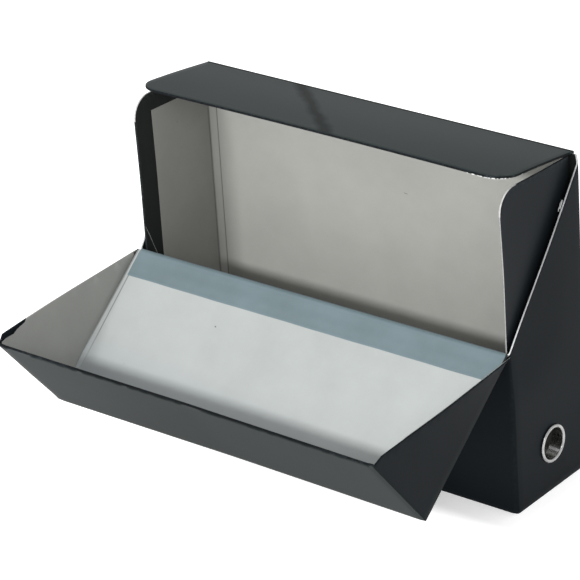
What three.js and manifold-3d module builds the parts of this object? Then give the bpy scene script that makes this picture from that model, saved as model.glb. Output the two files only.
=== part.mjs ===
// A foolscap box file with a drop front: a folded board case with slanting side walls, an inner liner whose
// two side walls reach the full height, a dust flap creased on the top of its back, and a drop front whose two
// triangular cheeks slide down between the liner and the case. Dark paper outside, light paper lining inside.
// Millimetres, +Z up, origin on the underside at the middle of the footprint, +Y towards the back.
import * as THREE from "three";
import { mergeVertices } from "three/addons/utils/BufferGeometryUtils.js";
import Module from "manifold-3d";

// ---- driving dimensions ----
const BOARD = 2.0; // board thickness
const SHEET = 0.4; // lining paper and hinge cloth
const GAP = 0.3; // paste line between a lining and its board

const CASE_HALF_X = 189.0; // outside of the case's side walls
const CASE_HALF_Y = 51.0; // front and back faces
const LOWER_FRONT_H = 139.0; // top edge of the fixed lower front
const CASE_BACK_H = 266.0; // top edge of the case's back
const FRONT_STRIP = [5.2, 1.4]; // double-crease strip at the front corners, along x and y
const BACK_STRIP = [4.0, 4.0];

const LINER_IN_X = 180.6; // inside of the liner's side walls
const LINER_IN_BACK = 46.7; // inside of the liner's back
const LINER_FRONT_Y = -47.0; // front edges of the liner's side walls
const LINER_TOP = 270.3;
const LINER_STRIP = [6.3, 3.5]; // double-crease strip in the back corners
const LINER_CORNER_R = 19.5; // rounded top front corners
const LINING_FRONT_Y = -27.0; // the light lining stops here, 24 mm behind the front
const LINING_TOP = 254.0;

const HINGE_Y = -51.0; // drop-front hinge line, on the outside faces
const HINGE_Z = 139.2;
const DROP_OPEN = 128.4; // degrees from closed, as it hangs
const DROP_HALF_X = 185.6;
const DROP_FRONT_L = 144.5; // length of the drop front's upright panel
const DROP_TOP_L = 98.6; // depth of its top panel
const DROP_STRIP = [6.0, 1.6];
const CHEEK_TIP = [133.2, 94.5]; // where the cheek's long edge ends: along the upright panel, and out from it
const CHEEK_TOP_OUT = 96.2;
const TAPE_W = 24.0; // hinge cloth on each side of the hinge

const FLAP_HINGE_Y = 51.2; // dust flap crease, on the flap's top face
const FLAP_HINGE_Z = 272.6;
const FLAP_HALF_X = 180.9;
const FLAP_L = 94.3;
const FLAP_CORNER_R = 20.0;
const FLAP_OPEN = 4.7; // degrees that the flap stands up

const RING_Z = 40.6; // finger ring centre
const RING_BORE_R = 13.1;
const RING_BARREL_R = 13.7;
const RING_LIP_R = 15.8;
const HOLE_R = 14.0; // hole through both walls

// ---- solids ----
const wasm = await Module();
wasm.setup();

function solid(geometry) {
  const g = (geometry.index ? geometry.toNonIndexed() : geometry).clone();
  g.deleteAttribute("normal");
  g.deleteAttribute("uv");
  const merged = mergeVertices(g, 1e-4);
  return new wasm.Manifold(
    new wasm.Mesh({
      numProp: 3,
      vertProperties: new Float32Array(merged.attributes.position.array),
      triVerts: new Uint32Array(merged.index.array),
    }),
  );
}

function geometryOf(made) {
  const m = made.getMesh();
  const at = new Float32Array(m.numVert * 3);
  for (let i = 0; i < m.numVert; i++)
    at.set(m.vertProperties.subarray(i * m.numProp, i * m.numProp + 3), i * 3);
  const g = new THREE.BufferGeometry()
    .setAttribute("position", new THREE.BufferAttribute(at, 3))
    .setIndex(new THREE.BufferAttribute(new Uint32Array(m.triVerts), 1));
  const flat = g.toNonIndexed();
  flat.computeVertexNormals();
  return flat;
}

function extrude(points, depth) {
  const shape = new THREE.Shape(points.map(([u, v]) => new THREE.Vector2(u, v)));
  return new THREE.ExtrudeGeometry(shape, { depth, bevelEnabled: false });
}

// Outline in plan, (x, y), raised from z0 to z1.
const upright = (points, z0, z1) => solid(extrude(points, z1 - z0).translate(0, 0, z0));

// Outline seen from the side, (y, z), run from x0 to x1.
function sideways(points, x0, x1) {
  const g = extrude(points, x1 - x0);
  g.applyMatrix4(new THREE.Matrix4().makeBasis(
    new THREE.Vector3(0, 1, 0), new THREE.Vector3(0, 0, 1), new THREE.Vector3(1, 0, 0)));
  return solid(g.translate(x0, 0, 0));
}

// An open line moved sideways by d, to its left as it runs, with mitred corners.
function offset(line, d) {
  const dirs = line.slice(1).map(([x, y], i) => {
    const dx = x - line[i][0], dy = y - line[i][1], l = Math.hypot(dx, dy);
    return [dx / l, dy / l];
  });
  return line.map(([x, y], i) => {
    const a = dirs[Math.max(0, i - 1)], b = dirs[Math.min(dirs.length - 1, i)];
    const na = [-a[1], a[0]], nb = [-b[1], b[0]];
    const k = d / (1 + na[0] * nb[0] + na[1] * nb[1]);
    return [x + (na[0] + nb[0]) * k, y + (na[1] + nb[1]) * k];
  });
}

// A folded sheet in plan: the strip between two offsets of one line.
const band = (line, d0, d1) => [...offset(line, d0), ...offset(line, d1).reverse()];

function arc(cy, cz, r, from, to, steps) {
  return Array.from({ length: steps + 1 }, (_, i) => {
    const t = ((from + ((to - from) * i) / steps) * Math.PI) / 180;
    return [cy + r * Math.cos(t), cz + r * Math.sin(t)];
  });
}

const fingerHole = (x0, x1) => sideways(arc(0, RING_Z, HOLE_R, 0, 352.5, 47), x0, x1);

const paint = (color, roughness, metalness = 0) =>
  new THREE.MeshStandardMaterial({ color, roughness, metalness });

function piece(name, made, material) {
  const mesh = new THREE.Mesh(made.isBufferGeometry ? made : geometryOf(made), material);
  mesh.name = name;
  return mesh;
}

// ---- outer case: bottom, lower front, back and slanting side walls, one folded and glued blank ----
const X = CASE_HALF_X, Y = CASE_HALF_Y;
const caseOutline = [
  [-X + FRONT_STRIP[0], -Y], [X - FRONT_STRIP[0], -Y], [X, -Y + FRONT_STRIP[1]],
  [X, Y - BACK_STRIP[1]], [X - BACK_STRIP[0], Y], [-X + BACK_STRIP[0], Y],
  [-X, Y - BACK_STRIP[1]], [-X, -Y + FRONT_STRIP[1]],
];
const looped = (line, d) => {
  const n = line.length;
  return offset([line[n - 1], ...line, line[0]], d).slice(1, n + 1);
};
const slant = (CASE_BACK_H + 1 - LOWER_FRONT_H) / (2 * Y - 1);
const outerCase = upright(caseOutline, 0, CASE_BACK_H)
  .subtract(upright(looped(caseOutline, BOARD), BOARD, CASE_BACK_H + 5))
  .subtract(sideways([
    [-Y - 20, LOWER_FRONT_H], [-Y + 1, LOWER_FRONT_H],
    [Y + 20, LOWER_FRONT_H + slant * (2 * Y + 19)], [-Y - 20, LOWER_FRONT_H + slant * (2 * Y + 19)],
  ], -X - 20, X + 20))
  .subtract(sideways(
    [[-Y - 2, LOWER_FRONT_H], [-Y + 3.2, LOWER_FRONT_H], [-Y + 3.2, LOWER_FRONT_H + 8], [-Y - 2, LOWER_FRONT_H + 8]],
    -X + BOARD, X - BOARD))
  .subtract(fingerHole(X - 8, X + 8));

// ---- inner liner: back and two full-height side walls, one folded board ----
const linerLine = [
  [LINER_IN_X, LINER_FRONT_Y],
  [LINER_IN_X, LINER_IN_BACK - LINER_STRIP[1]], [LINER_IN_X - LINER_STRIP[0], LINER_IN_BACK],
  [-LINER_IN_X + LINER_STRIP[0], LINER_IN_BACK], [-LINER_IN_X, LINER_IN_BACK - LINER_STRIP[1]],
  [-LINER_IN_X, LINER_FRONT_Y],
];
const R = LINER_CORNER_R;
const linerSide = [
  [80, 0], [80, LINER_TOP],
  ...arc(LINER_FRONT_Y + R, LINER_TOP - R, R, 90, 180, 10),
  [LINER_FRONT_Y, 0],
];
const innerLiner = upright(band(linerLine, 0, -BOARD), BOARD + GAP, LINER_TOP)
  .intersect(sideways(linerSide, -X, X))
  .subtract(fingerHole(LINER_IN_X - 8, LINER_IN_X + 4));

const liningLine = linerLine.map(([x, y]) => [x, y === LINER_FRONT_Y ? LINING_FRONT_Y : y]);
const linerLining = upright(band(liningLine, GAP, GAP + SHEET), BOARD + 3 * GAP + 0.1, LINING_TOP)
  .subtract(fingerHole(LINER_IN_X - 8, LINER_IN_X + 4));

const floorLine = offset(linerLine, GAP);
const floorLining = upright(
  [...floorLine.slice(1, 5), [floorLine[5][0], -Y + BOARD + 2 * GAP], [floorLine[0][0], -Y + BOARD + 2 * GAP]],
  BOARD + GAP, BOARD + GAP + SHEET);

const faceY = -Y + BOARD + GAP; // papers on the inside of the lower front and of the closed drop front
const sheetOnFront = (halfX, z0, z1) =>
  upright([[-halfX, faceY], [halfX, faceY], [halfX, faceY + SHEET], [-halfX, faceY + SHEET]], z0, z1);
const lowerFrontLining = sheetOnFront(182.0, 3.0, LOWER_FRONT_H - TAPE_W - 0.7);
const hingeTapeLower = sheetOnFront(178.0, LOWER_FRONT_H - TAPE_W - 0.4, LOWER_FRONT_H - 0.4);

// ---- drop front, drawn closed: upright panel, top panel and two triangular cheeks, one folded blank ----
const D = DROP_HALF_X;
const dropTop = HINGE_Z + DROP_FRONT_L;
const dropBottom = HINGE_Z + 0.2;
const dropLine = [
  [-D, Y], [-D, -Y + DROP_STRIP[1]], [-D + DROP_STRIP[0], -Y],
  [D - DROP_STRIP[0], -Y], [D, -Y + DROP_STRIP[1]], [D, Y],
];
const cheekSide = [
  [-Y - 2, dropBottom], [-Y + 2.4, dropBottom],
  [HINGE_Y + CHEEK_TIP[1], HINGE_Z + CHEEK_TIP[0]], [HINGE_Y + CHEEK_TOP_OUT, dropTop], [-Y - 2, dropTop],
];
const dropFrontBoard = upright(band(dropLine, 0, BOARD), dropBottom, dropTop)
  .intersect(sideways(cheekSide, -X, X))
  .add(upright(
    [[-D, HINGE_Y + DROP_TOP_L], ...dropLine.slice(1, 5), [D, HINGE_Y + DROP_TOP_L]],
    dropTop - BOARD, dropTop))
  .subtract(sideways(
    [[-Y - 1, dropTop + 1], [-Y - 1, dropTop - 1.2 - 1], [-Y, dropTop - 1.2], [-Y + 1.2, dropTop], [-Y + 2.2, dropTop + 1]],
    -X, X));

const underTop = dropTop - BOARD - GAP;
const cheekLiningSide = [
  [-Y, dropBottom + 2.2], [-Y + 3.4, dropBottom + 2.2],
  [HINGE_Y + 77.2, HINGE_Z + 110], [HINGE_Y + 82, HINGE_Z + 123], [HINGE_Y + 92, HINGE_Z + 138],
  [HINGE_Y + 92, underTop], [-Y, underTop],
];
const dropFrontLining = upright(band(dropLine, BOARD + GAP, BOARD + GAP + SHEET), dropBottom, underTop)
  .intersect(sideways(cheekLiningSide, -X, X))
  .subtract(upright([[-D + 8, -Y], [D - 8, -Y], [D - 8, -Y + 6], [-D + 8, -Y + 6]],
    dropBottom - 1, HINGE_Z + TAPE_W + 1.2))
  .add(upright(
    [[-D + BOARD + GAP, HINGE_Y + DROP_TOP_L - 4], ...offset(dropLine, BOARD + GAP).slice(1, 5),
      [D - BOARD - GAP, HINGE_Y + DROP_TOP_L - 4]],
    underTop - SHEET, underTop));
const hingeTapeUpper = sheetOnFront(D - 8.4, dropBottom + 0.4, HINGE_Z + TAPE_W + 0.8);

// ---- dust flap, drawn flat on the liner's side walls ----
function flapOutline(inset) {
  const r = FLAP_CORNER_R - inset, x = FLAP_HALF_X - inset;
  const back = FLAP_HINGE_Y - (inset ? 8 : 0), front = FLAP_HINGE_Y - FLAP_L + inset;
  return [
    [x, back], [-x, back],
    ...arc(-x + r, front + r, r, 180, 270, 10), ...arc(x - r, front + r, r, 270, 360, 10),
  ];
}
const topFlapBoard = upright(flapOutline(0), FLAP_HINGE_Z - BOARD, FLAP_HINGE_Z);
const topFlapLining = upright(flapOutline(5),
  FLAP_HINGE_Z - BOARD - GAP - SHEET, FLAP_HINGE_Z - BOARD - GAP);

// ---- finger ring: one rolled eyelet through both walls ----
const out = CASE_HALF_X + GAP, inn = LINER_IN_X - 2 * GAP - SHEET;
const ringProfile = [
  [RING_BORE_R, inn + 0.2], [RING_BORE_R, out + 0.5], [RING_BORE_R + 0.3, out + 1.1], [RING_BORE_R + 0.9, out + 1.5],
  [RING_BORE_R + 1.7, out + 1.4], [RING_LIP_R - 0.25, out + 0.9], [RING_LIP_R, out + 0.4], [RING_LIP_R - 0.1, out],
  [RING_BARREL_R, out], [RING_BARREL_R, inn],
  [RING_LIP_R - 0.3, inn], [RING_LIP_R - 0.2, inn - 0.4], [RING_LIP_R - 0.7, inn - 0.9], [RING_BORE_R + 1.3, inn - 1.2],
  [RING_BORE_R + 0.5, inn - 0.9], [RING_BORE_R + 0.1, inn - 0.3], [RING_BORE_R, inn + 0.2],
].map(([r, x]) => new THREE.Vector2(r, x));
const ring = new THREE.LatheGeometry(ringProfile.reverse(), 40);
ring.rotateZ(-Math.PI / 2).translate(0, 0, RING_Z);

// ---- assembly ----
const board = paint("#2a2d2f", 0.42);
const lining = paint("#aaaba4", 0.85);
const dropLiningPaint = paint("#c6cac8", 0.8);
const tape = paint("#7d909b", 0.7);
const nickel = paint("#b9babb", 0.25, 1.0);

const boxFile = new THREE.Group();
boxFile.add(
  piece("outer_case", outerCase, board),
  piece("inner_liner", innerLiner, board.clone()),
  piece("liner_lining", linerLining, lining),
  piece("floor_lining", floorLining, lining.clone()),
  piece("lower_front_lining", lowerFrontLining, lining.clone()),
  piece("hinge_tape_lower", hingeTapeLower, tape),
  piece("finger_ring", ring, nickel),
);

// Hung at its hinge line and turned open, forwards and down.
const dropFront = new THREE.Group();
dropFront.position.set(0, HINGE_Y, HINGE_Z);
dropFront.rotation.x = THREE.MathUtils.degToRad(DROP_OPEN);
for (const mesh of [
  piece("drop_front_board", dropFrontBoard, board.clone()),
  piece("drop_front_lining", dropFrontLining, dropLiningPaint),
  piece("hinge_tape_upper", hingeTapeUpper, tape.clone()),
]) {
  mesh.position.set(0, -HINGE_Y, -HINGE_Z);
  dropFront.add(mesh);
}
boxFile.add(dropFront);

// Creased on the back's top edge and standing a little up.
const topFlap = new THREE.Group();
topFlap.position.set(0, FLAP_HINGE_Y, FLAP_HINGE_Z);
topFlap.rotation.x = THREE.MathUtils.degToRad(-FLAP_OPEN);
for (const mesh of [
  piece("top_flap_board", topFlapBoard, board.clone()),
  piece("top_flap_lining", topFlapLining, lining.clone()),
]) {
  mesh.position.set(0, -FLAP_HINGE_Y, -FLAP_HINGE_Z);
  topFlap.add(mesh);
}
boxFile.add(topFlap);

export default boxFile;
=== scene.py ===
import math

import bmesh
import bpy
import numpy as np
from mathutils import Matrix, Vector


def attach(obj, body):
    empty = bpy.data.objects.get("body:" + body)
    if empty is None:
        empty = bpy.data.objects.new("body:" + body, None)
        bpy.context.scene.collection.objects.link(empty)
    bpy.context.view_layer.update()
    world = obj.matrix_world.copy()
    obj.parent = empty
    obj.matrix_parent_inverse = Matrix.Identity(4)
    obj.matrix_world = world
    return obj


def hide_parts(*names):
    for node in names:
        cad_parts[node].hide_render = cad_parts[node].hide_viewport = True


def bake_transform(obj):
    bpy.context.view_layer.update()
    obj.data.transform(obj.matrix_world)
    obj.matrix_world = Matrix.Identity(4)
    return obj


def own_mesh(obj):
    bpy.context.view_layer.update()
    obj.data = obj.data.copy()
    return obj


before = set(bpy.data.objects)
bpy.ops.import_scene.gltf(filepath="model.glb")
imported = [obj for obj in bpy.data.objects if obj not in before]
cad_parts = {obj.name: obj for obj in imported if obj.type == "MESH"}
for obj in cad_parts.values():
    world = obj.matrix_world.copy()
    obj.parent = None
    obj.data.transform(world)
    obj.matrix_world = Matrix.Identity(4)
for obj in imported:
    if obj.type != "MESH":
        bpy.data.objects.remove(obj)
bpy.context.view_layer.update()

MM = 0.001
rng = np.random.default_rng(7)


def smooth(a, b, t):
    t = np.clip((np.asarray(t, float) - a) / (b - a), 0.0, 1.0)
    return t * t * (3 - 2 * t)


# ---------------------------------------------------------------- materials
def tree_of(name):
    m = bpy.data.materials.new(name)
    m.use_nodes = True
    t = m.node_tree
    t.nodes.clear()
    out = t.nodes.new("ShaderNodeOutputMaterial")
    b = t.nodes.new("ShaderNodeBsdfPrincipled")
    t.links.new(b.outputs["BSDF"], out.inputs["Surface"])
    co = t.nodes.new("ShaderNodeTexCoord")
    return m, t, b, co


def noise(t, co, scale, detail=3.0, rough=0.55, stretch=None, distortion=0.0):
    n = t.nodes.new("ShaderNodeTexNoise")
    n.inputs["Scale"].default_value = scale
    n.inputs["Detail"].default_value = detail
    n.inputs["Roughness"].default_value = rough
    n.inputs["Distortion"].default_value = distortion
    src = co.outputs["Object"]
    if stretch:
        mp = t.nodes.new("ShaderNodeMapping")
        mp.inputs["Scale"].default_value = stretch
        t.links.new(src, mp.inputs["Vector"])
        src = mp.outputs["Vector"]
    t.links.new(src, n.inputs["Vector"])
    return n.outputs["Fac"]


def ramp(t, fac, stops):
    r = t.nodes.new("ShaderNodeValToRGB")
    els = r.color_ramp.elements
    while len(els) < len(stops):
        els.new(0.5)
    for e, (p, c) in zip(els, stops):
        e.position = p
        e.color = (*c, 1.0) if len(c) == 3 else c
    t.links.new(fac, r.inputs["Fac"])
    return r.outputs["Color"]


def mix(t, fac, a, b, mode="MIX"):
    m = t.nodes.new("ShaderNodeMix")
    m.data_type = "RGBA"
    m.blend_type = mode
    for sock, val in ((m.inputs[0], fac), (m.inputs[6], a), (m.inputs[7], b)):
        if isinstance(val, (int, float)):
            sock.default_value = val
        elif isinstance(val, tuple):
            sock.default_value = (*val, 1.0)
        else:
            t.links.new(val, sock)
    return m.outputs[2]


def bump(t, b, pairs):
    last = None
    for height, strength, dist in pairs:
        n = t.nodes.new("ShaderNodeBump")
        n.inputs["Strength"].default_value = strength
        n.inputs["Distance"].default_value = dist
        t.links.new(height, n.inputs["Height"])
        if last is not None:
            t.links.new(last, n.inputs["Normal"])
        last = n.outputs["Normal"]
    t.links.new(last, b.inputs["Normal"])


def attr(t, name):
    a = t.nodes.new("ShaderNodeAttribute")
    a.attribute_name = name
    return a.outputs["Fac"]


def dark_paper(name, base=(0.026, 0.029, 0.031), rough=0.42, spec=0.5, wear=0.5, tint=(0.94, 1.0, 1.0), streak=False):
    m, t, b, co = tree_of(name)
    broad = noise(t, co, 9.0, 3.0)
    fine = noise(t, co, 1500.0, 2.0, 0.6)
    fibre = noise(t, co, 260.0, 4.0, 0.6)
    c = ramp(t, broad, [(0.25, tuple(x * 0.86 for x in base)), (0.75, tuple(x * 1.18 for x in base))])
    specks = ramp(t, noise(t, co, 420.0, 2.0, 0.7), [(0.0, (0, 0, 0)), (0.735, (0, 0, 0)), (0.79, (1, 1, 1))])
    c = mix(t, specks, c, tuple(x * 2.3 for x in base))
    if streak:
        # painted reflection: a darker streak that runs aslant over the flap, its base colour darkened for the dimmer
        # reflection along it; the paper is also rougher there
        dot = t.nodes.new("ShaderNodeVectorMath")
        dot.operation = "DOT_PRODUCT"
        dot.inputs[1].default_value = (0.688, 0.725, 0.0)
        t.links.new(co.outputs["Object"], dot.inputs[0])
        off = t.nodes.new("ShaderNodeMath")
        off.operation = "ADD"
        off.inputs[1].default_value = 0.0224
        t.links.new(dot.outputs["Value"], off.inputs[0])
        wob = t.nodes.new("ShaderNodeMath")
        wob.operation = "MULTIPLY_ADD"
        wob.inputs[1].default_value = 0.012
        wob.inputs[2].default_value = -0.006
        t.links.new(noise(t, co, 40.0, 3.0), wob.inputs[0])
        add = t.nodes.new("ShaderNodeMath")
        add.operation = "ADD"
        t.links.new(off.outputs[0], add.inputs[0])
        t.links.new(wob.outputs[0], add.inputs[1])
        ab = t.nodes.new("ShaderNodeMath")
        ab.operation = "ABSOLUTE"
        t.links.new(add.outputs[0], ab.inputs[0])
        sc_ = t.nodes.new("ShaderNodeMath")
        sc_.operation = "MULTIPLY"
        sc_.inputs[1].default_value = 95.0
        t.links.new(ab.outputs[0], sc_.inputs[0])
        band = ramp(t, sc_.outputs[0], [(0.15, (1, 1, 1)), (0.75, (0, 0, 0))])
        c = mix(t, band, c, (0.0026, 0.0048, 0.0050))
        rr = ramp(t, sc_.outputs[0], [(0.15, (0.46, 0.46, 0.46)), (0.75, (rough, rough, rough))])
        t.links.new(rr, b.inputs["Roughness"])
    worn = t.nodes.new("ShaderNodeMath")
    worn.operation = "MULTIPLY"
    t.links.new(attr(t, "wear"), worn.inputs[0])
    t.links.new(ramp(t, noise(t, co, 330.0, 3.0, 0.7), [(0.42, (0, 0, 0)), (0.66, (1, 1, 1))]), worn.inputs[1])
    c = mix(t, worn.outputs[0], c, tuple(x * (2.0 + 4 * wear) for x in base))
    t.links.new(c, b.inputs["Base Color"])
    if not streak:
        b.inputs["Roughness"].default_value = rough
    b.inputs["Specular IOR Level"].default_value = spec
    b.inputs["Specular Tint"].default_value = (*tint, 1.0)
    bump(t, b, [(broad, 0.12, 0.0006), (fibre, 0.10, 0.00008), (fine, 0.14, 0.00004)])
    return m


def lining_paper(name, base, spread=0.07, rough=0.72, scuff=0.5):
    m, t, b, co = tree_of(name)
    broad = noise(t, co, 6.0, 4.0, 0.6)
    cloud = noise(t, co, 28.0, 5.0, 0.65)
    fine = noise(t, co, 900.0, 3.0, 0.7)
    c = ramp(t, broad, [(0.3, tuple(x * (1 - spread) for x in base)), (0.7, tuple(x * (1 + spread) for x in base))])
    c = mix(t, 0.35, c, ramp(t, cloud, [(0.32, tuple(x * 0.9 for x in base)), (0.68, tuple(x * 1.1 for x in base))]))
    dots = ramp(t, noise(t, co, 130.0, 2.0, 0.5), [(0.0, (0, 0, 0)), (0.78, (0, 0, 0)), (0.82, (1, 1, 1))])
    c = mix(t, dots, c, tuple(x * (1 - 0.35 * scuff) for x in base))
    # painted shade: the crease attribute darkens the lining in creases and corners
    line = attr(t, "crease")
    c = mix(t, line, c, tuple(x * 0.30 for x in base))
    dirt = attr(t, "wear")
    c = mix(t, dirt, c, tuple(min(1.0, x * 1.5) for x in base))
    t.links.new(c, b.inputs["Base Color"])
    b.inputs["Roughness"].default_value = rough
    b.inputs["Specular IOR Level"].default_value = 0.35
    bump(t, b, [(broad, 0.18, 0.0008), (fine, 0.25, 0.00005)])
    return m


def cloth(name, base=(0.100, 0.139, 0.152)):
    m, t, b, co = tree_of(name)
    wv = t.nodes.new("ShaderNodeTexWave")
    wv.inputs["Scale"].default_value = 700.0
    wv.inputs["Distortion"].default_value = 1.0
    wv.bands_direction = "X"
    t.links.new(co.outputs["Object"], wv.inputs["Vector"])
    broad = noise(t, co, 22.0, 4.0, 0.6)
    c = ramp(t, broad, [(0.3, tuple(x * 0.9 for x in base)), (0.7, tuple(x * 1.12 for x in base))])
    c = mix(t, 0.12, c, wv.outputs["Color"], "MULTIPLY")
    c = mix(t, attr(t, "wear"), c, tuple(x * 1.5 for x in base))
    t.links.new(c, b.inputs["Base Color"])
    b.inputs["Roughness"].default_value = 0.62
    b.inputs["Specular IOR Level"].default_value = 0.4
    bump(t, b, [(wv.outputs["Fac"], 0.25, 0.00006), (broad, 0.12, 0.0005)])
    return m


def raw_board(name, base=(0.66, 0.66, 0.62)):
    m, t, b, co = tree_of(name)
    n1 = noise(t, co, 500.0, 4.0, 0.7)
    n2 = noise(t, co, 60.0, 3.0, 0.6)
    c = ramp(t, n1, [(0.3, tuple(x * 0.62 for x in base)), (0.62, base)])
    c = mix(t, 0.3, c, ramp(t, n2, [(0.35, tuple(x * 0.7 for x in base)), (0.65, tuple(min(1, x * 1.1) for x in base))]))
    t.links.new(c, b.inputs["Base Color"])
    b.inputs["Roughness"].default_value = 0.9
    b.inputs["Specular IOR Level"].default_value = 0.2
    bump(t, b, [(n1, 0.4, 0.0001)])
    return m


def nickel(name):
    m, t, b, co = tree_of(name)
    n1 = noise(t, co, 120.0, 3.0, 0.6)
    n2 = noise(t, co, 900.0, 2.0, 0.6)
    c = ramp(t, n1, [(0.35, (0.27, 0.27, 0.27)), (0.7, (0.44, 0.44, 0.435))])
    t.links.new(c, b.inputs["Base Color"])
    b.inputs["Metallic"].default_value = 1.0
    r = ramp(t, n2, [(0.3, (0.2, 0.2, 0.2)), (0.7, (0.34, 0.34, 0.34))])
    t.links.new(r, b.inputs["Roughness"])
    bump(t, b, [(n2, 0.08, 0.00003)])
    return m


# painted light and shade: the cover paper is one paper; PAPER_CHEEK, PAPER_LID, PAPER_FLAP, PAPER_IN and PAPER_LINER
# are copies of it with their own base colour and specular level, set so each part comes out as light or dark as it
# looks
PAPER = dark_paper("cover_paper", base=(0.0040, 0.0056, 0.0070), rough=0.42, spec=0.042, tint=(0.86, 0.96, 1.0))
PAPER_CHEEK = dark_paper("cover_paper_cheek", base=(0.0042, 0.0058, 0.0072), rough=0.42, spec=0.036)
PAPER_LID = dark_paper("cover_paper_lid", base=(0.0046, 0.0076, 0.0076), rough=0.38, spec=0.017, tint=(0.88, 1.0, 0.96))
PAPER_FLAP = dark_paper("cover_paper_flap", base=(0.0062, 0.0112, 0.0112), rough=0.34, spec=0.052, tint=(0.88, 1.0, 0.99), streak=True)
PAPER_IN = dark_paper("cover_paper_inside", base=(0.0142, 0.0158, 0.0156), rough=0.5, spec=0.09)
RAW = raw_board("raw_board", base=(0.42, 0.425, 0.43))
RAW_DIM = raw_board("raw_board_dim", base=(0.36, 0.36, 0.35))
# painted light: LINING_LID and LINING_CHEEK are lighter copies of the one grey lining, set so those faces come out as
# light as they look
LINING = lining_paper("lining_grey", (0.244, 0.245, 0.228))
LINING_LID = lining_paper("lining_light", (0.288, 0.305, 0.300), spread=0.05)
LINING_CHEEK = lining_paper("lining_cheek", (0.276, 0.279, 0.264), spread=0.06)
CLOTH = cloth("hinge_cloth")
PAPER_LINER = dark_paper("cover_paper_liner", base=(0.0064, 0.0080, 0.0096), rough=0.42, spec=0.060, tint=(0.86, 0.96, 1.0))
PAPER_EDGE = dark_paper("cover_paper_edge", base=(0.0045, 0.0052, 0.0060), rough=0.6, spec=0.03, wear=0.9)
RAW_THIN = raw_board("raw_board_edge", base=(0.26, 0.262, 0.255))
NICKEL = nickel("nickel_ring")


# ---------------------------------------------------------------- meshes
def mesh_object(name, verts, faces, mats, face_mat=None):
    me = bpy.data.meshes.new(name)
    me.from_pydata([tuple(float(c) * MM for c in v) for v in verts], [], [tuple(int(i) for i in f) for f in faces])
    for m in mats:
        me.materials.append(m)
    if face_mat is not None:
        me.polygons.foreach_set("material_index", np.asarray(face_mat, int))
    me.update()
    ob = bpy.data.objects.new(name, me)
    bpy.context.scene.collection.objects.link(ob)
    return ob


def settle(ob):
    """Applies the modifiers."""
    bpy.context.view_layer.update()
    dg = bpy.context.evaluated_depsgraph_get()
    me = bpy.data.meshes.new_from_object(ob.evaluated_get(dg))
    ob.modifiers.clear()
    ob.data = me
    return ob


def coords(ob):
    a = np.empty(len(ob.data.vertices) * 3)
    ob.data.vertices.foreach_get("co", a)
    return a.reshape(-1, 3) / MM


def set_coords(ob, a):
    ob.data.vertices.foreach_set("co", (np.asarray(a) * MM).ravel())
    ob.data.update()


def finish_mesh(ob, angle=38.0):
    bm = bmesh.new()
    bm.from_mesh(ob.data)
    bmesh.ops.remove_doubles(bm, verts=bm.verts, dist=1e-6)
    bmesh.ops.recalc_face_normals(bm, faces=bm.faces)
    bm.to_mesh(ob.data)
    bm.free()
    ob.data.shade_smooth()
    ob.data.set_sharp_from_angle(angle=math.radians(angle))
    return ob


def set_attr(ob, name, values):
    a = ob.data.attributes.get(name) or ob.data.attributes.new(name, "FLOAT", "POINT")
    a.data.foreach_set("value", np.asarray(values, dtype=np.float32))


def fillet(line, r, closed=False, steps=4, r_of=None):
    """Rounds the corners of a plan line."""
    n = len(line)
    out = []
    for i, p in enumerate(line):
        if not closed and i in (0, n - 1):
            out.append(tuple(p))
            continue
        p = np.array(p, float)
        a, b = np.array(line[i - 1], float), np.array(line[(i + 1) % n], float)
        u, v = (a - p) / np.linalg.norm(a - p), (b - p) / np.linalg.norm(b - p)
        ang = math.acos(max(-1, min(1, float(u @ v))))
        rr = r if r_of is None else r_of(i)
        cut = min(rr / math.tan(ang / 2), 0.45 * np.linalg.norm(a - p), 0.45 * np.linalg.norm(b - p))
        s, e = p + u * cut, p + v * cut
        for k in range(steps + 1):
            w = k / steps
            q = (1 - w) ** 2 * s + 2 * w * (1 - w) * p + w * w * e
            out.append(tuple(q))
    return out


def resample(line, step, closed=False):
    pts = [np.array(p, float) for p in line]
    if closed:
        pts.append(pts[0])
    out = []
    for a, b in zip(pts[:-1], pts[1:]):
        n = max(1, int(math.ceil(np.linalg.norm(b - a) / step)))
        out += [a + (b - a) * k / n for k in range(n)]
    if not closed:
        out.append(pts[-1])
    return np.array(out)


def wall_surface(name, plan, top, rows, z0, mats, closed=False):
    """A standing surface over a plan line: columns rise from z0 to top(x, y)."""
    verts, faces = [], []
    n = len(plan)
    for x, y in plan:
        h = top(x, y)
        for k in range(rows + 1):
            verts.append((x, y, z0 + (h - z0) * k / rows))
    m = rows + 1
    for i in range(n if closed else n - 1):
        j = (i + 1) % n
        for k in range(rows):
            faces.append((i * m + k, j * m + k, j * m + k + 1, i * m + k + 1))
    return mesh_object(name, verts, faces, mats)


def grid_surface(name, pts, mats):
    pts = np.asarray(pts, float)
    nu, nv = pts.shape[:2]
    faces = [(i * nv + j, (i + 1) * nv + j, (i + 1) * nv + j + 1, i * nv + j + 1)
             for i in range(nu - 1) for j in range(nv - 1)]
    return mesh_object(name, pts.reshape(-1, 3), faces, mats)


def thicken(ob, t, offset, rim=None, inner=None, even=True):
    s = ob.modifiers.new("solid", "SOLIDIFY")
    s.thickness = t * MM
    s.offset = offset
    s.use_even_offset = even
    s.use_quality_normals = True
    if rim is not None:
        s.material_offset_rim = rim
    if inner is not None:
        s.material_offset = inner
    return ob


def thick(ob, t, right, rim=None, inner=None):
    """Thickens from the drawn surface to the side that right(coords) accepts."""
    kept = ob.data.copy()
    thicken(ob, t, -1.0, rim, inner)
    settle(ob)
    if not right(coords(ob)):
        kept.flip_normals()
        ob.data = kept
        thicken(ob, t, -1.0, rim, inner)
        settle(ob)
    return ob


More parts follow.
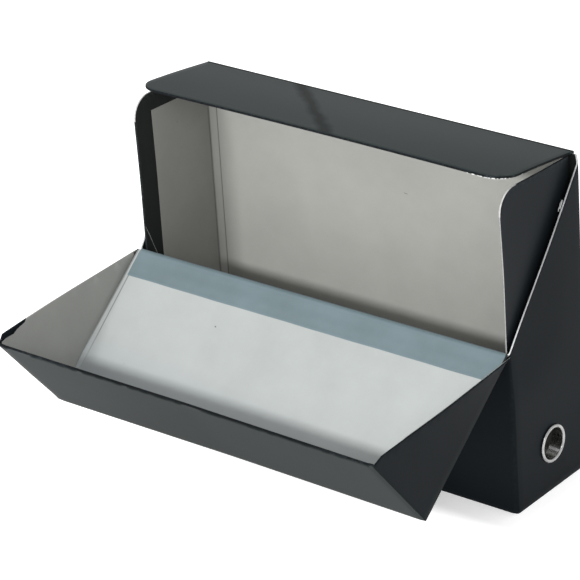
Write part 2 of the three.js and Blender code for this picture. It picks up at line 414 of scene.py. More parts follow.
def soften(ob, width, segments=2, angle=50.0):
    b = ob.modifiers.new("edge", "BEVEL")
    b.width = width * MM
    b.segments = segments
    b.limit_method = "ANGLE"
    b.angle_limit = math.radians(angle)
    b.use_clamp_overlap = True
    return ob


def cut_hole(ob, x0, x1, z=40.6, r=14.0, y=0.0):
    bpy.ops.mesh.primitive_cylinder_add(vertices=72, radius=r * MM, depth=(x1 - x0) * MM,
                                        location=((x0 + x1) / 2 * MM, y * MM, z * MM), rotation=(0, math.pi / 2, 0))
    c = bpy.context.object
    m = ob.modifiers.new("hole", "BOOLEAN")
    m.operation = "DIFFERENCE"
    m.solver = "EXACT"
    m.object = c
    settle(ob)
    bpy.data.objects.remove(c, do_unlink=True)
    return ob


# ---- shape fields shared by neighbouring pieces (mm, rest pose) ----
def case_field(p):
    """The side walls are pulled in towards the drop front's cheeks at the hinge corners and bow a little."""
    x, y, z = p.T
    side = smooth(150, 187, np.abs(x)) * np.sign(x)
    up = smooth(86, 140, z)
    front = 1 - smooth(-51, 30, y)
    top = 1 - smooth(150, 262, z)
    pull = 2.5 * up * np.clip(front, 0, 1) * (0.35 + 0.65 * top)
    q = p.copy()
    q[:, 0] -= side * pull
    q[:, 0] += side * 0.5 * (1 - smooth(2, 60, z))
    # the lower front bows a touch outwards in its middle
    q[:, 1] -= 0.8 * np.cos(np.clip(x / 189, -1, 1) * math.pi / 2) * (1 - smooth(-51, -46, y)) * smooth(0, 60, z) * (1 - smooth(90, 138, z))
    return q


# ---- outer case ----
CX, CY = 189.0, 51.0
case_line = [(0, CY), (CX - 4, CY), (CX, CY - 4), (CX, -CY + 1.4), (CX - 5.2, -CY), (-CX + 5.2, -CY), (-CX, -CY + 1.4),
             (-CX, CY - 4), (-CX + 4, CY)]
plan = resample(fillet(case_line, 2.4, closed=True), 7.0, closed=True)
slope = (271.0 - 139.0) / (2 * CY - 1)


def case_top(x, y):
    if y <= -50.0 or (abs(x) < 186.0 and y < -40):
        return 139.0
    return min(270.4, 139.0 + (y + 50.0) * slope)


case = wall_surface("case_board", plan, case_top, 44, 0.0, [PAPER, PAPER_IN, RAW], closed=True)
thick(case, 1.5, lambda v: np.abs(v[:, 0]).max() < 189.5, rim=2, inner=1)
bm = bmesh.new()
bm.from_mesh(case.data)
bmesh.ops.recalc_face_normals(bm, faces=bm.faces)
bm.to_mesh(case.data)
bm.free()
soften(case, 0.35, 2, 55)
settle(case)
base = mesh_object("case_bottom", [(x, y, 0.0) for x, y in fillet(case_line, 2.4, closed=True)],
                   [list(range(len(fillet(case_line, 2.4, closed=True))))], [PAPER, PAPER_IN])
bb = coords(base)
bb[:, :2] *= np.array([1 - 0.6 / 189, 1 - 0.6 / 51])
set_coords(base, bb)
thicken(base, 2.0, 1.0, inner=0)
settle(base)
b2 = coords(base)
b2[:, 2] = np.where(b2[:, 2] > 1.0, 2.0, np.where(b2[:, 2] < -1.0, 2.0, 0.0))
set_coords(base, b2)
cut_hole(case, 184.0, 194.0)
v = case_field(coords(case))
set_coords(case, v)
bpy.ops.object.select_all(action="DESELECT")
base.select_set(True)
case.select_set(True)
bpy.context.view_layer.objects.active = case
bpy.ops.object.join()
for poly in case.data.polygons:
    c = poly.center / MM
    if c.y < -49.2 and c.z > 138.4 and abs(c.x) < 183.5:
        poly.material_index = 0
finish_mesh(case, 32)
v = coords(case)
edge_d = np.minimum(np.abs(v[:, 2]), 30)
set_attr(case, "wear", np.clip((1 - smooth(0, 1.2, v[:, 2])) * 0.6
                               + (1 - smooth(0.0, 2.5, np.abs((v[:, 2] - 139 - (v[:, 1] + 50) * slope) / 1.6))) * (np.abs(v[:, 0]) > 184) * 0.5
                               + (1 - smooth(0, 1.5, np.abs(np.hypot(np.abs(v[:, 0]) - 187.5, v[:, 1] + 49.6)))) * 0.35, 0, 1))
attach(case, "case")
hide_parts("outer_case")

# ---- inner liner ----
LX, LB, LF, LT, LR = 180.6, 46.7, -47.0, 270.3, 19.5


def liner_plan(front_y, inset=0.0, step=8.0, corner_cols=True):
    x, b = LX - inset, LB - inset
    line = [(x, front_y), (x, b - 3.5), (x - 6.3, b), (-x + 6.3, b), (-x, b - 3.5), (-x, front_y)]
    pts = resample(fillet(line, 1.6), step)
    if corner_cols:
        ys = [LF + LR * (1 - math.cos(math.radians(a))) for a in range(0, 91, 9)]
        extra = [np.array((x, yy)) for yy in ys[:-1]]
        keep_mid = [p for p in pts if p[1] > ys[-1] - 0.5]
        pts = np.array(extra + keep_mid + [np.array((-x, yy)) for yy in reversed(ys[:-1])])
    return pts


def liner_top(x, y):
    if y < LF + LR and abs(x) > 170:
        d = max(0.0, LF + LR - y)
        return LT - LR + math.sqrt(max(0.0, LR * LR - d * d))
    return LT


liner = wall_surface("liner_board", liner_plan(LF), liner_top, 40, 2.3, [PAPER_IN, PAPER_LINER, RAW_DIM])
# rows are even in each column, so the top follows the rounded corner
thick(liner, 1.6, lambda v: np.abs(v[:, 0]).max() > 181.8, rim=1, inner=1)
soften(liner, 0.52, 3, 55)
settle(liner)
cut_hole(liner, 176.0, 186.0)


def liner_field(p):
    """The side flaps lean in slightly at the free front edge."""
    x, y, z = p.T
    q = p.copy()
    s = np.sign(x) * smooth(150, 180, np.abs(x))
    free = 1 - np.clip((y + 47) / 99.0, 0, 1)
    q[:, 2] += 3.5 * smooth(150, 175, np.abs(x)) * smooth(120, 268, z) * free ** 0.8
    q[:, 0] += np.where(x > 0, -1.9, -1.3) * smooth(150, 178, np.abs(x)) * smooth(190, 268, z) * (1 - smooth(-47, 20, y))
    q[:, 1] += 1.2 * np.cos(np.clip(x / 180.0, -1, 1) * math.pi / 2) * smooth(20, 46, y) * smooth(20, 120, z) * (1 - smooth(200, 268, z))
    return q


set_coords(liner, liner_field(coords(liner)))
finish_mesh(liner, 35)
# raw pale edge where the turned-in paper is cut round the corners
me = liner.data
me.materials.append(RAW_THIN)
for poly in me.polygons:
    c = poly.center / MM
    if c.y < LF + LR + 1 and abs(c.x) > 175 and abs(poly.normal.x) < 0.5:
        if c.z > LT - LR + 3.0:
            poly.material_index = 2
        elif c.x > 0 and c.y < LF + 2 and abs(poly.normal.x) < 0.25:
            poly.material_index = 3
v = coords(liner)
set_attr(liner, "wear", np.clip((1 - smooth(0, 1.4, v[:, 1] - LF)) * 0.6 + (1 - smooth(0, 1.4, LT - v[:, 2])) * 0.5, 0, 1))
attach(liner, "case")
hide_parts("inner_liner")

# ---- liner lining: light paper on the liner's three walls ----
lin_plan = liner_plan(-27.0, inset=0.18, step=2.5, corner_cols=False)
fine_plan = [lin_plan[0]]
for p0, p1 in zip(lin_plan[:-1], lin_plan[1:]):
    near = abs(p0[0]) > 170 and p0[1] > 38
    k = max(1, int(math.ceil(np.linalg.norm(p1 - p0) / (0.35 if near else 2.5))))
    fine_plan += [p0 + (p1 - p0) * (j + 1) / k for j in range(k)]
lin_plan = np.array(fine_plan)
lining = wall_surface("liner_lining_sheet", lin_plan, lambda x, y: 254.0 + 0.5 * math.sin(x / 37.0) + 14.0 * smooth(45.2, 46.2, y), 70, 2.6, [LINING])
thicken(lining, 0.16, 0.0)
settle(lining)
cut_hole(lining, 176.0, 186.0)
set_coords(lining, liner_field(coords(lining)))
finish_mesh(lining, 35)
v = coords(lining)
run = v[:, 0]
# painted shade: two thin dark crease lines in each back corner, and darker towards the bottom of the walls
cx = np.abs(v[:, 0])
c1 = np.exp(-((cx - (LX - 6.6)) / 0.42) ** 2) * (v[:, 1] > LB - 1.6)
c2 = np.exp(-((v[:, 1] - (LB - 3.7)) / 0.55) ** 2) * (cx > LX - 1.6)
shade = 0.25 * (1 - smooth(2, 14, v[:, 2]))
set_attr(lining, "crease", np.clip(0.95 * c1 + 0.9 * c2 + shade, 0, 1))
set_attr(lining, "wear", np.zeros(len(v)))
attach(lining, "case")
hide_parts("liner_lining")

# ---- floor and lower front lining keep the solids' shape ----
for node, mat in (("floor_lining", LINING), ("lower_front_lining", LINING)):
    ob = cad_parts[node]
    ob.data.materials.clear()
    ob.data.materials.append(mat)
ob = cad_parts["top_flap_lining"]
ob.data.materials.clear()
ob.data.materials.append(LINING)

# ---------------------------------------------------------------- drop front
HY, HZ, OPEN = -51.0, 139.2, math.radians(128.4)
A = np.array([0.0, -math.sin(OPEN), math.cos(OPEN)])
O = np.array([0.0, math.cos(OPEN), math.sin(OPEN)])
H = np.array([0.0, HY, HZ])
DX, DL, DT = 185.6, 144.5, 98.6


def lid_field(q):
    """q = (x, a, o): along the panel from the hinge, and out from its outer face towards its inside."""
    x, a, o = q.T.copy()
    u = x / DX
    t = np.clip(a / DL, 0, 1)
    s = np.clip(o / DT, 0, 1)
    nx, na, no = x.copy(), a.copy(), o.copy()
    nx += np.where(u > 0, smooth(0.3, 1, u) * (1.9 - 1.0 * t), 0.0) * (1 - 0.9 * s * t)
    nx += np.where(u < 0, smooth(0.3, 1, -u), 0.0) * (-0.8 + 2.6 * smooth(0.55, 1, t) * (1 - smooth(0, 0.6, s)))
    na += t * np.where(u > 0, 2.0 + 0.5 * s, 0.0) * np.clip(u, 0, 1)
    # the panel sags a little and is twisted: its left fold is higher
    no += t * np.clip(-u, 0, 1) * 2.2
    no -= 1.3 * np.sin(np.pi * t) * np.cos(np.clip(u, -1, 1) * np.pi / 2) * (1 - s)
    na += t * np.clip(-u, 0, 1) * (0.3 + 0.4 * s)
    # the free edge bows down towards the fold in its left part
    bow = np.cos(np.clip((u + 0.2) / 1.2, -1, 1) * np.pi / 2)
    no -= smooth(0.15, 1, s) * t * bow * 2.4
    return np.stack([nx, na, no], 1)


def lid_world(q, field=True):
    q = np.asarray(q, float).reshape(-1, 3)
    if field:
        q = lid_field(q)
    return H + q[:, :1] * np.array([1.0, 0, 0]) + q[:, 1:2] * A + q[:, 2:3] * O


def lid_local(p):
    d = np.asarray(p) - H
    return np.stack([d[:, 0], d @ A, d @ O], 1)


def place_lid(ob, field=True):
    set_coords(ob, lid_world(coords(ob), field))
    return ob


def lid_grid(name, xs, profile, mats):
    """profile is a list of (a, o, dx) points; all pieces are drawn in (x, a, o) and placed afterwards."""
    pts = [[(x, a, o) for a, o in profile] for x in xs]
    return grid_surface(name, pts, mats)


# panel and top panel, drawn on their outer faces
prof = [(0.2, 0.0)] + [(a, 0.0) for a in np.linspace(4, 138, 26)]
fold_r = 2.0
prof += [(DL - fold_r * (1 - math.sin(math.radians(b))), fold_r * (1 - math.cos(math.radians(b)))) for b in range(0, 91, 15)]
prof += [(DL, o) for o in np.linspace(6, DT, 20)]
xs = np.concatenate([[-DX, -184.6, -183, -181, -179.6], np.linspace(-175, 175, 54), [179.6, 181, 183, 184.6, DX]])
pts = np.zeros((len(xs), len(prof), 3))
for i, x in enumerate(xs):
    k = smooth(179.6, 185.6, abs(x)) * 1.3
    for j, (a, o) in enumerate(prof):
        # the strip next to each cheek turns inwards on both panels
        wa = 1 - np.clip(o / 4, 0, 1)
        wo = np.clip(o / 4, 0, 1)
        pts[i, j] = (x, a - k * 0.35 * wo, o + k * wa)
panel = grid_surface("drop_front_panel", pts, [PAPER_LID, PAPER_IN, PAPER_LID, PAPER_EDGE])
thick(panel, 2.0, lambda q: q[:, 2].min() > -0.8 and q[:, 1].max() < DL + 0.8, rim=0, inner=1)
soften(panel, 0.5, 3, 50)
settle(panel)
for poly in panel.data.polygons:
    c = poly.center / MM
    if c.z > DT - 0.75 and c.y > 100:
        poly.material_index = 3
place_lid(panel)
finish_mesh(panel, 40)
q = lid_local(coords(panel))
set_attr(panel, "wear", np.clip((1 - smooth(0, 1.8, np.abs(q[:, 1] - DL))) * (1 - smooth(0, 3, q[:, 2])) * 0.8
                                + (q[:, 2] > DT - 6) * (1 - smooth(0, 1.2, np.abs(q[:, 2] - DT))) * 0.6
                                + (1 - smooth(0, 1.5, np.abs(np.abs(q[:, 0]) - 186.0))) * 0.35, 0, 1))
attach(panel, "drop_front")
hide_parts("drop_front_board")


# cheeks: triangles with a cut tip, leaning out at their long free edge
CH = [(0.6, 1.2), (2.6, 3.0), (133.2, 94.5), (143.6, 96.6), (143.9, 1.2)]


def polygon_sheet(name, outline, x0, x1, mats, step=7.0, bev=0.5):
    bm = bmesh.new()
    lo = [bm.verts.new((x0, a, o)) for a, o in outline]
    f = bm.faces.new(lo)
    r = bmesh.ops.extrude_face_region(bm, geom=[f])
    vs = [g for g in r["geom"] if isinstance(g, bmesh.types.BMVert)]
    bmesh.ops.translate(bm, verts=vs, vec=(x1 - x0, 0, 0))
    bmesh.ops.recalc_face_normals(bm, faces=bm.faces)
    if bev:
        edges = [e for e in bm.edges if abs(e.verts[0].co.x - e.verts[1].co.x) < 1e-6]
        bmesh.ops.bevel(bm, geom=edges, offset=bev, segments=3, profile=0.5, affect="EDGES")
    lo_a, hi_a = min(a for a, o in outline), max(a for a, o in outline)
    lo_o, hi_o = min(o for a, o in outline), max(o for a, o in outline)
    for c in np.arange(lo_a + step, hi_a, step):
        bmesh.ops.bisect_plane(bm, geom=bm.verts[:] + bm.edges[:] + bm.faces[:], plane_co=(0, c, 0), plane_no=(0, 1, 0))
    for c in np.arange(lo_o + step, hi_o, step):
        bmesh.ops.bisect_plane(bm, geom=bm.verts[:] + bm.edges[:] + bm.faces[:], plane_co=(0, 0, c), plane_no=(0, 0, 1))
    me = bpy.data.meshes.new(name)
    for v in bm.verts:
        v.co *= MM
    bm.to_mesh(me)
    bm.free()
    for m in mats:
        me.materials.append(m)
    ob = bpy.data.objects.new(name, me)
    bpy.context.scene.collection.objects.link(ob)
    return ob


def cheek_lean(q, side):
    """Leans the cheek out towards its long edge."""
    x, a, o = q.T
    hyp = np.clip(o / np.maximum(1.0, a * 0.709 + 1.5), 0, 1)
    if side < 0:
        amt = 2.2 + 4.6 * smooth(-10, 110, a)
    else:
        amt = 3.6 * (1 - 0.75 * smooth(60, 140, a))
    out = q.copy()
    out[:, 0] += side * amt * hyp ** 1.3 * (1 - smooth(132, 144.5, a) * (0.55 if side < 0 else 0.9))
    return out


for side, nm in ((-1, "left"), (1, "right")):
    xo, xi = side * 185.6, side * 184.2
    ck = polygon_sheet("cheek_" + nm, CH, min(xo, xi), max(xo, xi), [PAPER_CHEEK, RAW_DIM])
    for poly in ck.data.polygons:
        c = poly.center / MM
        if side < 0 and abs(poly.normal.x) < 0.8 and c.z > c.y * 0.7 - 1 and 4 < c.y < 108:
            poly.material_index = 1
    q = cheek_lean(coords(ck), side)
    set_coords(ck, q)
    place_lid(ck)
    finish_mesh(ck, 40)
    q = lid_local(coords(ck))
    set_attr(ck, "wear", np.clip((1 - smooth(0, 2.0, np.abs(q[:, 2] - (q[:, 1] * 0.7075 + 1.0)))) * 0.6, 0, 1))
    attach(ck, "drop_front")
    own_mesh(ck)
    # lining on the cheek, stepped back from the long edge
    lo = [(1.5, 2.8), (110.0, 78.3), (113.2, 78.0), (122.0, 82.4), (127.0, 83.6), (139.0, 93.6), (142.0, 94.0), (142.0, 2.5), (1.3, 2.4)]
    li = polygon_sheet("cheek_lining_" + nm, lo, side * 184.02 - 0.08, side * 184.02 + 0.08, [LINING_CHEEK], bev=0)
    q = cheek_lean(coords(li), side)
    set_coords(li, q)
    place_lid(li)
    finish_mesh(li, 40)
    q = lid_local(coords(li))
    set_attr(li, "wear", np.clip((1 - smooth(0, 0.9, np.abs(q[:, 2] - (q[:, 1] * 0.686 + 1.6)))) * 0.5, 0, 1))
    # painted shade along the lining's lower edge, in the corner where the cheek meets the panel
    set_attr(li, "crease", np.clip((1 - smooth(0, 2.2, q[:, 2] - 2.4)) * 0.6, 0, 1))
    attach(li, "drop_front")
    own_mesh(li)

# lining of the panel and the top panel
lp = [(a, 2.2) for a in np.linspace(0.7, 138, 70)]
lp += [(DL - 2.2 - 1.2 * (1 - math.sin(math.radians(b))), 2.2 + 1.2 * (1 - math.cos(math.radians(b)))) for b in range(0, 91, 18)]
lp += [(DL - 2.2, o) for o in np.linspace(5, DT - 4, 14)]
fine = np.arange(-183.9, -173.0, 0.3)
lx = np.concatenate([fine, np.linspace(-172, 172, 70), -fine[::-1]])
pts = np.zeros((len(lx), len(lp), 3))
for i, x in enumerate(lx):
    k = smooth(179.8, 183.9, abs(x)) * 1.3
    for j, (a, o) in enumerate(lp):
        a = max(a, 2.4) if x > 0 else a
        pts[i, j] = (x, a - k * np.clip((o - 2.2) / 4, 0, 1) * 0.5, o + k * (1 - np.clip((o - 2.2) / 4, 0, 1)))
ll = grid_surface("drop_front_lining_sheet", pts, [LINING_LID])
thicken(ll, 0.16, 0.0)
settle(ll)
q0 = coords(ll)
place_lid(ll)
finish_mesh(ll, 40)
q = lid_local(coords(ll))
ax = np.abs(q[:, 0])
shift = np.where(q[:, 0] > 0, 1.2, -0.8)
# painted shade: thin dark lines along the strip beside each cheek, and along the fold to the top panel
line_r = 181.8 - 3.0 * np.clip(q[:, 1] / 144, 0, 1)
stripA = np.exp(-((ax - 184.15) / 0.5) ** 2) + np.exp(-((ax - line_r) / 0.40) ** 2)
set_attr(ll, "crease", np.clip(0.95 * stripA * (q[:, 2] < 6) + 0.5 * np.exp(-((q[:, 1] - (DL - 3)) / 1.2) ** 2), 0, 1))
set_attr(ll, "wear", np.zeros(len(q)))
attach(ll, "drop_front")
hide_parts("drop_front_lining")

# hinge cloth, one strip over the hinge
cx_ = np.linspace(-182.6, 184.2, 80)
low = [(-48.75, 139.2 - 24.4 + 24.4 * k / 10) for k in range(10)]
low = [(y, z) for y, z in low if z < 138.6]
pts = np.zeros((len(cx_), 0, 3)).tolist()
for i, x in enumerate(cx_):
    row = []
    lim = 177.5
    xl = max(-lim, min(lim, x))
    for y, z in low:
        row.append((xl, y, z))
    for y, z in ((-48.8, 138.9), (-49.1, 139.7), (-50.0, 140.6), (-51.2, 141.3)):
        row.append((xl + (x - xl) * smooth(138.6, 141.2, z), y, z))
    k = smooth(179.8, 183.9, abs(x)) * 1.3
    for a in np.concatenate([[2.2, 3.6, 5.2], np.linspace(7, 24.6, 10)]):
        o = 2.46 + k
        wob = 0.08 * math.sin(x / 19.0) + 0.06 * math.sin(x / 7.3 + 1)
        aa = a + (wob if a > 24 else 0)
        xx = x if x > 0 else max(x, -181.6 + 2.4 * a / 100)
        w = lid_world([(xx, aa, o + 0.1 * math.sin(a / 2.0))])[0]
        row.append(tuple(w))
    pts[i] = row
cl = grid_surface("hinge_cloth_strip", np.array(pts), [CLOTH])
thicken(cl, 0.25, 0.0)
settle(cl)
finish_mesh(cl, 60)
v = coords(cl)
q = lid_local(v)
set_attr(cl, "wear", np.clip((1 - smooth(0, 1.0, np.abs(q[:, 1] - 24.5))) * 0.3 + (1 - smooth(0, 2.0, np.abs(q[:, 1] - 1.5))) * 0.25, 0, 1))
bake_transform(cl)
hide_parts("hinge_tape_lower", "hinge_tape_upper")

# ---------------------------------------------------------------- dust flap
FX, FL, FR = 182.4, 94.3, 20.0
FHY, FHZ = 51.2, 272.6
rest_a = math.radians(4.7)


def flap_shape(x, t, off):
    """Point on the flap: t from the crease to the front edge, off down from the top face."""
    u = x / FX
    ang = math.radians(4.7)
    y = -t * math.cos(ang)
    z = t * math.sin(ang)
    s = t / FL
    lift = 4.6 * s ** 1.15 + 0.9 * math.sin(math.pi * s) + 0.8 * s * math.cos(u * math.pi / 2) - 0.7 * s * max(0, u) ** 2
    return (x, FHY + y - off * math.sin(ang + 0.04), FHZ + z + lift - off * math.cos(ang + 0.04))


def flap_outline(inset=0.0, t_back=0.0, n=10):
    r, x = FR - inset, FX - inset
    front = FL - inset
    pts = [(x, t_back), (-x, t_back)]
    for k in range(n + 1):
        a = math.radians(90 * k / n)
        pts.append((-x + r - r * math.cos(a), front - r + r * math.sin(a)))
    for k in range(n + 1):
        a = math.radians(90 * k / n)
        pts.append((x - r + r * math.sin(a), front - r + r * math.cos(a)))
    return pts


fl = polygon_sheet("dust_flap", flap_outline(), -2.0, 0.0, [PAPER_FLAP, PAPER_EDGE], step=6.0, bev=0.5)
for poly in fl.data.polygons:
    if abs(poly.normal.x) < 0.8 and poly.center.z / MM > 5:
        poly.material_index = 1
q = coords(fl)      # (thickness -2..0, x, t)
set_coords(fl, np.array([flap_shape(a, o, -x) for x, a, o in q]))
finish_mesh(fl, 40)
v = coords(fl)
fw = (1 - smooth(0, 1.4, np.abs(np.abs(v[:, 0]) - FX))) * 0.3
tt = FHY - v[:, 1]
fw += (1 - smooth(0, 1.6, np.abs(tt - FL + 0.6))) * 0.35
cr = np.hypot(v[:, 0] - (FX - FR), tt - (FL - FR))
fw += (v[:, 0] > FX - FR) * (tt > FL - FR) * (1 - smooth(0, 1.2, np.abs(cr - FR))) * 0.9
set_attr(fl, "wear", np.clip(fw, 0, 1))
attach(fl, "top_flap")
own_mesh(fl)
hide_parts("top_flap_board")
fll = polygon_sheet("dust_flap_lining", flap_outline(5.0, 8.0), -2.2, -2.02, [LINING], step=8.0, bev=0)
q = coords(fll)
set_coords(fll, np.array([flap_shape(a, o, -x) for x, a, o in q]))
finish_mesh(fll, 40)
set_attr(fll, "wear", np.zeros(len(fll.data.vertices)))
set_attr(fll, "crease", np.zeros(len(fll.data.vertices)))
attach(fll, "top_flap")
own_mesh(fll)
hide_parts("top_flap_lining")

# the crease that carries the flap on the back's top edge
cr_pts = []
for x in np.linspace(-182.0, 182.0, 40):
    row = [(x, 51.15, 256.0), (x, 51.2, 262.0), (x, 51.25, 268.0), (x, 51.3, 270.5)]
    for ang in (20, 50, 80):
        row.append((x, 50.2 + 1.1 * math.cos(math.radians(ang)), 271.6 + 1.1 * math.sin(math.radians(ang))))
    row.append((x, 49.0, FHZ + 2.2 * 0.12 + 0.2))
    cr_pts.append(row)
crs = grid_surface("flap_crease_paper", np.array(cr_pts), [PAPER])
thicken(crs, 0.25, 0.0)
settle(crs)
finish_mesh(crs, 60)
set_attr(crs, "wear", np.zeros(len(crs.data.vertices)))
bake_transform(crs)

# ---------------------------------------------------------------- finger ring
out_x, in_x = 189.6, 180.0
prof = [(13.1, in_x + 0.3), (13.1, out_x + 0.2)]
for k in range(0, 13):
    a = math.radians(180 - 15 * k)
    prof.append((14.55 + 1.45 * math.cos(a), out_x + 0.15 + 1.35 * math.sin(a)))
prof += [(15.9, out_x - 0.05), (13.7, out_x - 0.05), (13.7, in_x)]
for k in range(0, 11):
    a = math.radians(18 * k)
    prof.append((14.4 + 1.2 * math.cos(a), in_x - 0.1 - 0.95 * math.sin(a)))
prof += [(13.1, in_x + 0.3)]
seg = 96
pts = np.zeros((seg + 1, len(prof), 3))
for i in range(seg + 1):
    a = 2 * math.pi * i / seg
    for j, (r, x) in enumerate(prof):
        pts[i, j] = (x, r * math.cos(a), 40.6 + r * math.sin(a))
ring = grid_surface("finger_ring_rolled", pts, [NICKEL])
finish_mesh(ring, 45)
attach(ring, "case")
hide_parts("finger_ring")

# ---------------------------------------------------------------- small marks of use, and a painted shadow band on the drop front's lining
def sliver(name, pts, width, thick_, mat, up):
    """A thin flat strip along pts; up is its normal."""
    pts = [np.array(p, float) for p in pts]
    up = np.array(up, float) / np.linalg.norm(up)
    verts, faces = [], []
    for i, p_ in enumerate(pts):
        d_ = pts[min(i + 1, len(pts) - 1)] - pts[max(i - 1, 0)]
        sd = np.cross(d_, up)
        sd /= np.linalg.norm(sd)
        w_ = width[i] if isinstance(width, (list, tuple)) else width
        for a_, b_ in ((-1, 0), (1, 0), (1, 1), (-1, 1)):
            verts.append(p_ + sd * a_ * w_ / 2 + up * b_ * thick_)
    for i in range(len(pts) - 1):
        k_ = 4 * i
        for e in range(4):
            faces.append((k_ + e, k_ + (e + 1) % 4, k_ + 4 + (e + 1) % 4, k_ + 4 + e))
    faces += [(3, 2, 1, 0), tuple(4 * (len(pts) - 1) + e for e in range(4))]
    ob = mesh_object(name, verts, faces, [mat])
    finish_mesh(ob, 50)
    return ob


# painted shadow: the drop front's lining darkens to a cooler grey in a soft band towards its fold with the top panel,
# reaching further in on the left, where the top panel's shadow falls
t = LINING_LID.node_tree
b = next(n for n in t.nodes if n.type == "BSDF_PRINCIPLED")
src = b.inputs["Base Color"].links[0].from_socket
co = t.nodes.new("ShaderNodeTexCoord")
dot = t.nodes.new("ShaderNodeVectorMath")
dot.operation = "DOT_PRODUCT"
dot.inputs[1].default_value = (-0.085, -0.7837, -0.6211)
t.links.new(co.outputs["Object"], dot.inputs[0])
off = t.nodes.new("ShaderNodeMath")
off.operation = "MULTIPLY_ADD"
off.inputs[1].default_value = 24.0
off.inputs[2].default_value = 24.0 * (0.0465 - 0.091)
t.links.new(dot.outputs["Value"], off.inputs[0])
wv = t.nodes.new("ShaderNodeMath")
wv.operation = "MULTIPLY_ADD"
wv.inputs[1].default_value = 0.30
wv.inputs[2].default_value = -0.15
t.links.new(noise(t, co, 16.0, 3.0), wv.inputs[0])
sm = t.nodes.new("ShaderNodeMath")
sm.operation = "ADD"
t.links.new(off.outputs[0], sm.inputs[0])
t.links.new(wv.outputs[0], sm.inputs[1])
lid_lining_shadow_band = ramp(t, sm.outputs[0], [(0.0, (0, 0, 0)), (0.95, (1, 1, 1))])
t.links.new(mix(t, lid_lining_shadow_band, src, (0.240, 0.258, 0.266)), b.inputs["Base Color"])

PALE = raw_board("raw_fibre", base=(0.50, 0.51, 0.50))
SMUDGE = lining_paper("lining_mark", (0.06, 0.06, 0.056))


def on_case(ob):
    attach(ob, "case")
    return ob


on_case(sliver("hairline_left", [(-180.62, -46.4, 160.0), (-180.6, -42.0, 149.5), (-180.6, -38.4, 140.3), (-180.6, -34.3, 130.2)],
               [0.2, 0.34, 0.3, 0.2], 0.05, PALE, (1, 0, 0)))
# fibres at the hinge corner and a chip on the slanting edge
fray = [sliver("f%d" % i, p_, w_, 0.25, PALE, u_) for i, (p_, w_, u_) in enumerate([
    ([(185.4, -52.6, 139.6), (186.8, -52.4, 141.0), (187.9, -51.4, 142.6)], [1.2, 1.5, 0.5], (0.5, -0.6, 0.6)),
    ([(184.6, -54.6, 139.2), (186.0, -54.0, 140.0), (187.3, -53.0, 140.7)], [0.9, 1.3, 0.6], (0.2, -0.5, 0.8)),
    ([(186.4, -51.0, 140.6), (187.0, -50.0, 142.8), (187.5, -49.1, 144.6)], [1.0, 0.8, 0.3], (0.8, -0.5, 0.3)),
])]
chip = [sliver("c%d" % i, p_, w_, 0.5, RAW, u_) for i, (p_, w_, u_) in enumerate([
    ([(187.2, 22.6, 235.4), (186.9, 24.6, 238.6), (187.0, 26.6, 241.2)], [1.0, 2.0, 0.9], (-0.4, -0.8, 0.6)),
    ([(186.8, 21.4, 233.6), (186.3, 22.9, 236.2)], [0.8, 0.5], (-0.6, -0.7, 0.5)),
])]
for group, nm in ((fray, "hinge_corner_fray"), (chip, "slant_edge_chip")):
    bpy.ops.object.select_all(action="DESELECT")
    for o_ in group:
        o_.select_set(True)
    bpy.context.view_layer.objects.active = group[0]
    bpy.ops.object.join()
    group[0].name = nm
    on_case(group[0])
# pale flecks where the cover paper has cracked round the flap's front right corner
fl_pts = []
for k, (deg, ln) in enumerate(((4, 3.2), (14, 1.6), (22, 2.6), (33, 1.2), (41, 2.4), (50, 1.4), (60, 1.0))):
    a0 = math.radians(90 - deg)
    a1 = math.radians(90 - deg - ln * 180 / math.pi / FR * 1.0)
    row = []
    for a_ in (a0, a1):
        x_, t_ = FX - FR + (FR + 0.12) * math.cos(a_), FL - FR + (FR + 0.12) * math.sin(a_)
        row.append(np.array(flap_shape(x_, t_, 1.75)))
    fl_pts.append(row)
for k, xx_ in enumerate((148.0, 152.5, 157.5, 160.5)):
    ln = (1.0, 2.6, 2.4, 1.6)[k]
    fl_pts.append([np.array(flap_shape(xx_, FL + 0.12, 1.8)), np.array(flap_shape(xx_ + ln, FL + 0.12, 1.8))])
fl_pts.append([np.array(flap_shape(FX + 0.12, FL - FR - 3.0, 1.7)), np.array(flap_shape(FX + 0.12, FL - FR - 4.6, 1.5))])
flecks = [sliver("k%d" % i, row, 0.55 + 0.25 * (i % 3), 0.15, PALE, (0.25, -0.9, -0.2)) for i, row in enumerate(fl_pts)]
bpy.ops.object.select_all(action="DESELECT")
for o_ in flecks:
    o_.select_set(True)
bpy.context.view_layer.objects.active = flecks[0]
bpy.ops.object.join()
flecks[0].name = "flap_edge_flecks"
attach(flecks[0], "top_flap")
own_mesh(flecks[0])
on_case(sliver("lining_dash_back", [(17.6, 47.30, 200.0), (19.3, 47.30, 199.6), (21.6, 47.32, 199.7)], [0.25, 0.5, 0.2], 0.04, SMUDGE, (0, -1, 0)))
dot_ = lid_world([(-78.0, 45.0, 2.30), (-77.2, 45.5, 2.30), (-76.6, 45.9, 2.30)])
mk = sliver("lining_dot_drop_front", list(dot_), [0.5, 1.0, 0.5], 0.06, SMUDGE, tuple(O))
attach(mk, "drop_front")

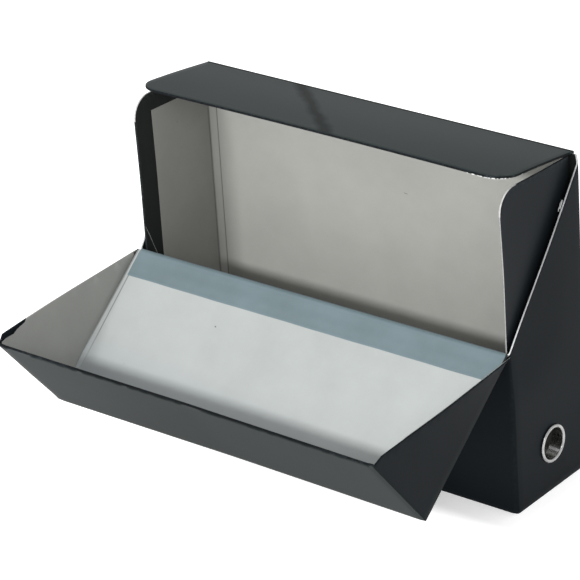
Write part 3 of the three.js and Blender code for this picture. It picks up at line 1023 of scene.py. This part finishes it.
# ---------------------------------------------------------------- stage, light, camera
sc = bpy.context.scene
sc.view_settings.view_transform = "Standard"
sc.view_settings.look = "None"
sc.view_settings.exposure = 0.0
sc.view_settings.gamma = 1.0

w = bpy.data.worlds.new("surround")
sc.world = w
w.use_nodes = True
bg = w.node_tree.nodes["Background"]
bg.inputs["Color"].default_value = (1.0, 1.0, 1.0, 1.0)
bg.inputs["Strength"].default_value = 0.97

bpy.ops.mesh.primitive_plane_add(size=14.0, location=(0, 0, 0))
floor = bpy.context.object
floor.name = "floor"
m, t, b, co = tree_of("floor_white")
c = ramp(t, noise(t, co, 1.5, 2.0), [(0.3, (0.93, 0.93, 0.93)), (0.7, (0.95, 0.95, 0.95))])
t.links.new(c, b.inputs["Base Color"])
b.inputs["Roughness"].default_value = 0.9
b.inputs["Specular IOR Level"].default_value = 0.1
b.inputs["Emission Color"].default_value = (1.0, 1.0, 1.0, 1.0)
b.inputs["Emission Strength"].default_value = 0.37
floor.data.materials.append(m)


def area(name, loc, target, size, power, color=(1, 1, 1)):
    l = bpy.data.lights.new(name, "AREA")
    l.shape = "RECTANGLE"
    l.size, l.size_y = size
    l.energy = power
    l.color = color
    ob = bpy.data.objects.new(name, l)
    ob.location = loc
    ob.rotation_euler = (Vector(target) - Vector(loc)).to_track_quat("-Z", "Y").to_euler()
    sc.collection.objects.link(ob)
    return ob


area("key", (-0.45, -2.7, 1.51), (0, 0, 0.12), (0.9, 0.24), 102.0)
area("fill", (1.9, -2.0, 1.7), (0, 0, 0.12), (1.2, 1.0), 20.0)

cam_d = bpy.data.cameras.new("camera")
cam_d.lens = 222.97
cam_d.sensor_width = 36.0
cam_d.clip_start = 0.05
cam_d.clip_end = 50.0
cam = bpy.data.objects.new("camera", cam_d)
look = Vector((-0.57260, 0.69340, -0.43741)).normalized()
right = Vector((0.78782, 0.61302, -0.05953)).normalized()
down = look.cross(right).normalized()
rot = Matrix((right, -down, -look)).transposed()
cam.matrix_world = Matrix.Translation((1.6259, -2.0527, 1.4052)) @ rot.to_4x4()
sc.collection.objects.link(cam)
sc.camera = cam
